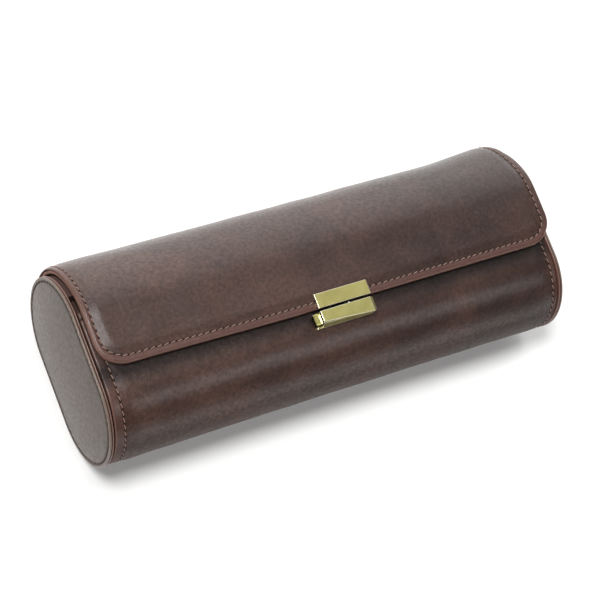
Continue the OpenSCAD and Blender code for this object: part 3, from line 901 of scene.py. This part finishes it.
piping_radius = 0.0007
piping_inset = 0.0028
crumple_depth, crumple_scale = 0.0004, 45
for number, (word, (low, high)) in enumerate(cushion_boxes.items()):
    centre = np.array([(a + b) / 2 for a, b in zip(low, high)])
    shift = Vector((number * 7, 0, 0))
    crumple = np.array([noise.noise(Vector(p) * crumple_scale + shift) for p in form_points])
    outward = form_points / np.maximum(np.linalg.norm(form_points, axis=1, keepdims=True), 1e-9)
    points = form_points + outward * (crumple_depth * crumple - 0.0003)[:, None]
    skin = BVHTree.FromPolygons([Vector(p) for p in points], form_faces)
    points, faces = list(points), list(form_faces)
    for end in (-1, 1):
        at = end * (cushion_half[0] - piping_inset)
        loop = []
        for a in np.linspace(0, 2 * math.pi, 96, endpoint=False):
            aim = Vector((0, math.cos(a), math.sin(a)))
            hit = skin.ray_cast(Vector((at, 0, 0)) + aim * 0.05, -aim)[0]
            loop.append(np.array(hit) if hit is not None else np.array((at, 0, 0)))
        more_points, more_faces = tube(loop, piping_radius)
        start = len(points)
        points += more_points
        faces += [tuple(start + v for v in f) for f in more_faces]
    mesh = bpy.data.meshes.new("cushion_%s_cover" % word)
    mesh.from_pydata([tuple(np.asarray(p) + centre) for p in points], [], faces)
    cover = finish_mesh("cushion_%s_cover" % word, mesh)
    cover.data.materials.append(cushion_suede)
    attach(cover, "case")
    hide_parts("cushion_%s" % word)

# --------------------------------------------------------------------------
# Brass lock and hasp: a folded box on a foot plate and a plate on the flap, both with broken, bright
# edges, worn and painted paler as a highlight; their faces in shade take a dark brass, as painted shade.
# Their shapes are the frame's own, with each sharp edge rounded.
# --------------------------------------------------------------------------
# The finish of polished metal: fine brushing along the case, and slow tarnish
metal_polish, given = shader_group("metal_polish", {}, ("Brushing", "Tarnish"))
stretched = node(metal_polish, "ShaderNodeMapping", {
    "Vector": given["Vector"], "Scale": (60.0, 900.0, 900.0)})
node(metal_polish, "NodeGroupOutput", {
    "Brushing": cloudy(metal_polish, stretched.outputs[0], 4.0, 3.0),
    "Tarnish": cloudy(metal_polish, given["Vector"], 220.0, 4.0)})


def metal(name, base, bright, dull, roughness):
    """Polished metal, tarnished from base towards dull, and bright on its worn edges, made paler still as a
    painted highlight.
    """
    made, tree = new_material(name)
    polish = node(tree, "ShaderNodeGroup", {"Vector": object_place(tree)}, node_tree=metal_polish).outputs
    colour = mixed(tree, polish["Tarnish"], dull, base)
    rough = scaled(tree, polish["Brushing"], 0.12, roughness - 0.06)
    end_in_shader(tree, {
        # paler on bevelled edges: worn, and a painted highlight
        "Base Color": mixed(tree, point_mark(tree, "worn_glint"), colour, bright),
        "Roughness": scaled(tree, polish["Tarnish"], 0.1, rough), "Metallic": 1.0,
        "Normal": bumped(tree, polish["Brushing"], 0.00002, 0.3)})
    return made


brass = metal("lock_brass", srgb(236, 228, 154), srgb(255, 251, 226), srgb(206, 196, 116), 0.28)
# a dark copy of the brass for faces in shade: painted shade
shaded_brass = metal("lock_brass_painted_shade", srgb(62, 56, 34), srgb(80, 74, 50), srgb(34, 30, 20), 0.5)
steel = metal("lock_steel", srgb(176, 176, 173), srgb(225, 225, 224), srgb(150, 150, 148), 0.3)


def bevelled(name, source, width, trim=None, inside=None):
    """A copy of a node's mesh, merged and simplified, with its sharp edges rounded and marked as worn
    and painted as a highlight. trim moves its corners first, and inside tells the faces that get the dark
    brass, as painted shade."""
    work = bmesh.new()
    work.from_mesh(frame["nodes"][source].data)
    bmesh.ops.remove_doubles(work, verts=work.verts, dist=1e-6)
    bmesh.ops.dissolve_limit(work, angle_limit=math.radians(1), verts=work.verts, edges=work.edges)
    for vert in work.verts:
        if trim is not None:
            vert.co.y += trim(vert.co)
    work.normal_update()
    for face in work.faces:
        if inside is not None and inside(face.calc_center_median(), face.normal):
            face.material_index = 1
    sharp = [e for e in work.edges if len(e.link_faces) == 2 and e.calc_face_angle() > math.radians(25)]
    worn_glint = work.faces.layers.float.new("worn_glint")
    done = bmesh.ops.bevel(work, geom=sharp, offset=width, offset_type="OFFSET", segments=5, profile=0.5,
                           affect="EDGES", clamp_overlap=True)
    for face in done["faces"]:
        face.material_index = 0
        face[worn_glint] = 1.0
    mesh = bpy.data.meshes.new(name)
    work.to_mesh(mesh)
    work.free()
    return finish_mesh(name, mesh, smooth=False)


hasp_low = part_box("hasp_plate")[0]
box_low, box_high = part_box("lock_housing")
hasp_trim, box_trim = 0.0004, 0.0003    # what filing the two facing edges took off, which widens the gap
front_slope = 0.0017            # the front leans back, most at the button's end
wall = 0.0012
at_face = 1e-5                  # how close to a face its corners are looked for


def hasp_cut(place):
    return hasp_trim if place.y < hasp_low[1] + at_face else 0


def box_cut(place):
    if place.y > box_high[1] - at_face:
        return -box_trim
    if place.y < box_low[1] + at_face and place.z > box_high[2] - at_face:
        return front_slope * (box_high[0] - place.x) / (box_high[0] - box_low[0])
    return 0


# the hasp's front and underside, facing the gap: painted shade
def hasp_shaded_faces(middle, normal):
    return normal.y < -0.9 or normal.z < -0.9


# the slide's top and back, inside the box: painted shade
def slide_shaded_faces(middle, normal):
    return normal.z > 0.5 or normal.y > 0.5


# the box's hollow and its back: painted shade
def box_shaded_faces(middle, normal):
    within = wall * 0.7
    deep = box_low[1] + within < middle.y < box_high[1] - within and middle.z < box_high[2] - within
    return deep or normal.y > 0.9


for name, source, body, finish, width, trim, inside in (
        ("hasp_face", "hasp_plate", "flap", brass, 0.0003, hasp_cut, hasp_shaded_faces),
        ("hasp_bar", "hasp_tongue", "flap", brass, 0.0001, hasp_cut, hasp_shaded_faces),
        ("lock_box", "lock_housing", "case", brass, 0.0003, box_cut, box_shaded_faces),
        ("lock_foot", "lock_plate", "case", brass, 0.00015, box_cut, None),
        ("slide_catch", "slide_bar", "lock_slide", steel, 0.0001, None, slide_shaded_faces)):
    piece = bevelled(name, source, width, trim=trim, inside=inside)
    piece.data.materials.append(finish)
    piece.data.materials.append(shaded_brass)
    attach(piece, body)
    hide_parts(source)

# --------------------------------------------------------------------------
# Push button: a small brass block with a shallow dish in its top for the fingertip. Its shank, which
# slides in the box, its lower sides and its end towards the box are dark brass, as painted shade.
# --------------------------------------------------------------------------
low, high = (np.array(v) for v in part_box("push_button"))
shank_x = low[0] + 0.0029       # where the block ends and the shank begins
dish_rim, dish_depth = 0.0005, 0.0002
button_edge = 0.00018
shaded_foot = 0.0012              # how high up its sides are painted dark, as shade
work = bmesh.new()
bmesh.ops.create_cube(work, size=1)
for vert in work.verts:
    vert.co = [a + (b - a) * (c + 0.5) for a, b, c in zip(low, high, vert.co)]
bmesh.ops.bisect_plane(work, geom=work.verts[:] + work.edges[:] + work.faces[:],
                       plane_co=(shank_x, 0, 0), plane_no=(1, 0, 0))
top = [f for f in work.faces if f.normal.z > 0.9 and f.calc_center_median().x < shank_x]
bmesh.ops.inset_region(work, faces=top, thickness=dish_rim, depth=0)
bmesh.ops.translate(work, verts=list({v for f in top for v in f.verts}), vec=(0, 0, -dish_depth))
# painted shade on the shank
for face in work.faces:
    if face.calc_center_median().x > shank_x:
        face.material_index = 1
bmesh.ops.bevel(work, geom=[e for e in work.edges if len(e.link_faces) == 2 and e.calc_face_angle() > 0.5],
                offset=button_edge, offset_type="OFFSET", segments=2, profile=0.5, affect="EDGES",
                clamp_overlap=True)
# painted shade on its foot and its end towards the box
for face in work.faces:
    if face.calc_center_median().z < low[2] + shaded_foot or face.normal.x > 0.9:
        face.material_index = 1
mesh = bpy.data.meshes.new("button_block")
work.to_mesh(mesh)
work.free()
button = finish_mesh("button_block", mesh, smooth=False)
button.data.materials.append(brass)
button.data.materials.append(shaded_brass)
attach(button, "lock_slide")
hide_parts("push_button")

# --------------------------------------------------------------------------
# Lock spring: a steel coil between the slide and the end of the box.
# The plates and rivets behind the leather are of the same steel.
# --------------------------------------------------------------------------
low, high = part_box("lock_spring")
spring = bpy.data.objects.new("return_spring", frame["nodes"]["lock_spring"].data.copy())
scene.collection.objects.link(spring)
spring.data.materials.clear()
spring.data.materials.append(steel)
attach(spring, "case")
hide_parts("lock_spring")
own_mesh(spring)
cover_nodes(steel, "lock_back_plate", "lock_rivets", "hasp_back_plate", "hasp_rivets")

# --------------------------------------------------------------------------
# Stitching: waxed brown thread. Each stitch is a short arch between two needle holes, sunk in the
# groove that it draws; each hole is a thin dark disc, as painted shade. Geometry nodes set one on each point
# of the sewn rows.
# --------------------------------------------------------------------------
def waxed_thread(name, dark, light):
    """Twisted thread with wax on it."""
    made, tree = new_material(name)
    twist = cloudy(tree, object_place(tree), 3000.0)
    end_in_shader(tree, {
        "Base Color": mixed(tree, twist, dark, light), "Roughness": scaled(tree, twist, 0.15, 0.5),
        "Normal": bumped(tree, twist, 0.00005, 0.5)})
    return made


thread_material = waxed_thread("thread", srgb(96, 68, 58), srgb(176, 144, 130))
dark_thread = waxed_thread("thread_dark", srgb(52, 38, 32), srgb(92, 72, 62))

# needle holes: a dark disc where the hole is in shade, painted shade
hole_shade_material, tree = new_material("needle_hole_shade")
hole_mottle = cloudy(tree, object_place(tree), 2000.0)
end_in_shader(tree, {
    "Base Color": mixed(tree, hole_mottle, srgb(22, 16, 14), srgb(40, 30, 27)),
    "Roughness": scaled(tree, hole_mottle, 0.1, 0.8), "Specular IOR Level": 0.1})

sewing_tree = bpy.data.node_groups.new("stitches", "GeometryNodeTree")
for label, kind in (("Points", "Geometry"), ("Stitch Length", "Float"), ("Thread Radius", "Float"),
                    ("Thread Rise", "Float"), ("Hole Radius", "Float"), ("Thread", "Material"),
                    ("Hole", "Material")):
    sewing_tree.interface.new_socket(label, in_out="INPUT", socket_type="NodeSocket" + kind)
sewing_tree.interface.new_socket("Stitches", in_out="OUTPUT", socket_type="NodeSocketGeometry")


def sewing(kind, inputs=None, **settings):
    """A node of the stitching's tree."""
    return node(sewing_tree, kind, inputs, **settings)


def sewing_vector(x, z=0.0):
    return sewing("ShaderNodeCombineXYZ", {0: x, 2: z}).outputs[0]


def row_vector(label):
    """The direction that each point of a sewn row carries under that name."""
    return sewing("GeometryNodeInputNamedAttribute", {"Name": label},
                  data_type="FLOAT_VECTOR").outputs["Attribute"]


given = sewing("NodeGroupInput").outputs
half_length = scaled(sewing_tree, given["Stitch Length"], 0.5)
back_half = scaled(sewing_tree, half_length, -1.0)
sink = scaled(sewing_tree, given["Thread Rise"], -1.6)
lift_up = scaled(sewing_tree, given["Thread Rise"], 1.9)
arch = sewing("GeometryNodeCurvePrimitiveBezierSegment", {
    "Resolution": 6,
    "Start": sewing_vector(back_half, sink), "Start Handle": sewing_vector(back_half, lift_up),
    "End": sewing_vector(half_length, sink), "End Handle": sewing_vector(half_length, lift_up)},
    mode="POSITION")
outline = sewing("GeometryNodeCurvePrimitiveCircle", {"Resolution": 6, "Radius": given["Thread Radius"]})
thread_mesh = sewing("GeometryNodeCurveToMesh", {
    "Curve": arch.outputs[0], "Profile Curve": outline.outputs[0], "Fill Caps": True})
hole_mesh = sewing("GeometryNodeMeshCylinder", {
    "Vertices": 8, "Radius": given["Hole Radius"], "Depth": 0.00012})
hole_moved = sewing("GeometryNodeTransform", {
    "Geometry": hole_mesh.outputs["Mesh"], "Translation": sewing_vector(half_length)})
hole_marked = sewing("GeometryNodeStoreNamedAttribute", {
    "Geometry": hole_moved.outputs[0], "Name": "is_hole", "Value": True}, data_type="BOOLEAN", domain="FACE")
stitch_shape = sewing("GeometryNodeJoinGeometry")
sewing_tree.links.new(thread_mesh.outputs[0], stitch_shape.inputs[0])
sewing_tree.links.new(hole_marked.outputs[0], stitch_shape.inputs[0])
turn = sewing("FunctionNodeAxesToRotation", {
    "Primary Axis": row_vector("up"), "Secondary Axis": row_vector("ahead")},
    primary_axis="Z", secondary_axis="X")
placed = sewing("GeometryNodeInstanceOnPoints", {
    "Points": given["Points"], "Instance": stitch_shape.outputs[0], "Rotation": turn.outputs[0]})
real = sewing("GeometryNodeRealizeInstances", {"Geometry": placed.outputs[0]})
thread_set = sewing("GeometryNodeSetMaterial", {"Geometry": real.outputs[0], "Material": given["Thread"]})
is_hole = sewing("GeometryNodeInputNamedAttribute", {"Name": "is_hole"},
                 data_type="BOOLEAN").outputs["Attribute"]
hole_set = sewing("GeometryNodeSetMaterial", {
    "Geometry": thread_set.outputs[0], "Selection": is_hole, "Material": given["Hole"]})
sewing("NodeGroupOutput", {"Stitches": hole_set.outputs[0]})

stitch_pitch = 3.0
stitch_length, thread_radius, thread_rise, hole_radius = 0.0021, 0.00023, 0.00022, 0.00048
askew = 0.18                    # how much each stitch leans across its row
on_leather = 0.05               # how far out the rows' points lie, past the leather


def sewn_row(path, up):
    """Even points along a path, with the way up and the way ahead at each."""
    path, up = np.asarray(path), np.asarray(up)
    length = np.concatenate([[0], np.cumsum(np.linalg.norm(np.diff(path, axis=0), axis=1))])
    count = max(2, int(round(length[-1] / (stitch_pitch * MM))))
    wanted = (np.arange(count) + 0.5) * length[-1] / count
    near = 0.0004

    def along(places, values):
        return np.stack([np.interp(places, length, values[:, k]) for k in range(3)], -1)

    ahead = along(np.minimum(wanted + near, length[-1]), path) - along(np.maximum(wanted - near, 0), path)
    return along(wanted, path), along(wanted, up), ahead


def case_row(x, t, off):
    """A sewn row on the wrapped leather."""
    x, t = np.broadcast_arrays(np.asarray(x, float), np.asarray(t, float))
    up = np.concatenate([np.zeros((len(t), 1)), case_frame(t)[1]], axis=1)
    return sewn_row(on_case(x, t, off), up)


def stitches(name, rows, body, thread=thread_material, rise=thread_rise, hole=hole_radius):
    """One mesh of stitches for a body."""
    at, up, ahead = (np.concatenate([row[k] for row in rows]) for k in range(3))
    ahead = ahead + askew * np.cross(up, ahead)
    mesh = bpy.data.meshes.new(name)
    mesh.from_pydata(at.tolist(), [], [])
    for label, values in (("up", up), ("ahead", ahead)):
        attribute = mesh.attributes.new(label, "FLOAT_VECTOR", "POINT")
        attribute.data.foreach_set("vector", values.astype(np.float32).ravel())
    made = bpy.data.objects.new(name, mesh)
    scene.collection.objects.link(made)
    modifier = made.modifiers.new("sewing", "NODES")
    modifier.node_group = sewing_tree
    inputs = [item for item in sewing_tree.interface.items_tree if item.in_out == "INPUT"]
    sockets = {item.name: item.identifier for item in inputs}
    for label, value in (("Stitch Length", stitch_length), ("Thread Radius", thread_radius),
                         ("Thread Rise", rise), ("Hole Radius", hole), ("Thread", thread),
                         ("Hole", hole_shade_material)):
        modifier[sockets[label]] = value
    apply_modifiers(made)
    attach(made, body)


def base_row(x, t):
    """A sewn row on the base's leather."""
    x, t = np.broadcast_arrays(np.asarray(x, float), np.asarray(t, float))
    well_in = 9 + 0 * x
    return case_row(x, t, base_high_face(x, t, well_in) + on_leather)


left_x, right_x = -base_half + stitch_left, base_half - stitch_right
long_t = np.linspace(start_t + stitch_lip, end_t - 1, 400)
case_rows = [base_row(left_x, long_t), base_row(right_x, long_t),
             base_row(np.linspace(left_x, right_x, 300), start_t + stitch_lip)]
lap_off = lap_lift + hinge_leather_t - groove_depth + 0.04
lap_x = np.linspace(flap_left + 3, base_half - 3, 300)
case_rows += [case_row(lap_x, lap_t, lap_off) for lap_t in (lap_end_t + lap_stitch, fold_end_t - lap_stitch)]
stitches("case_stitching", case_rows, "case")

disc_rows = []
for side in (-1, 1):
    flat = ring_points(round_r - disc_stitch, 240) + (case_y, round_r)
    loop = np.concatenate([flat, flat[:1]])
    path = np.column_stack([np.full(len(loop), side * (disc_face - 0.1)), loop])
    disc_rows.append(sewn_row(path * MM, np.tile([side, 0.0, 0.0], (len(loop), 1))))
stitches("disc_stitching", disc_rows, "case", dark_thread, thread_rise * 0.7, hole_radius * 0.6)

corner_in = flap_corner - flap_stitch
x_left, x_right, t_front = flap_left + flap_corner, flap_right - flap_corner, flap_front - flap_corner
side_t = np.linspace(fold_start_t + 1.2, t_front, 120)
arc = np.radians(np.linspace(0, 90, 24))[1:-1]
front_count = 200
row_x = np.concatenate([
    np.full(len(side_t), flap_left + flap_stitch), x_left - corner_in * np.cos(arc),
    np.linspace(x_left, x_right, front_count), x_right + corner_in * np.sin(arc),
    np.full(len(side_t), flap_right - flap_stitch)])
row_t = np.concatenate([
    side_t, t_front + corner_in * np.sin(arc), np.full(front_count, flap_front - flap_stitch),
    t_front + corner_in * np.cos(arc), side_t[::-1]])
row_off = flap_high_face(row_x, row_t, flap_stitch + 0 * row_x) + on_leather
stitches("flap_stitching", [case_row(*flap_cut(row_x, row_t), row_off)], "flap")
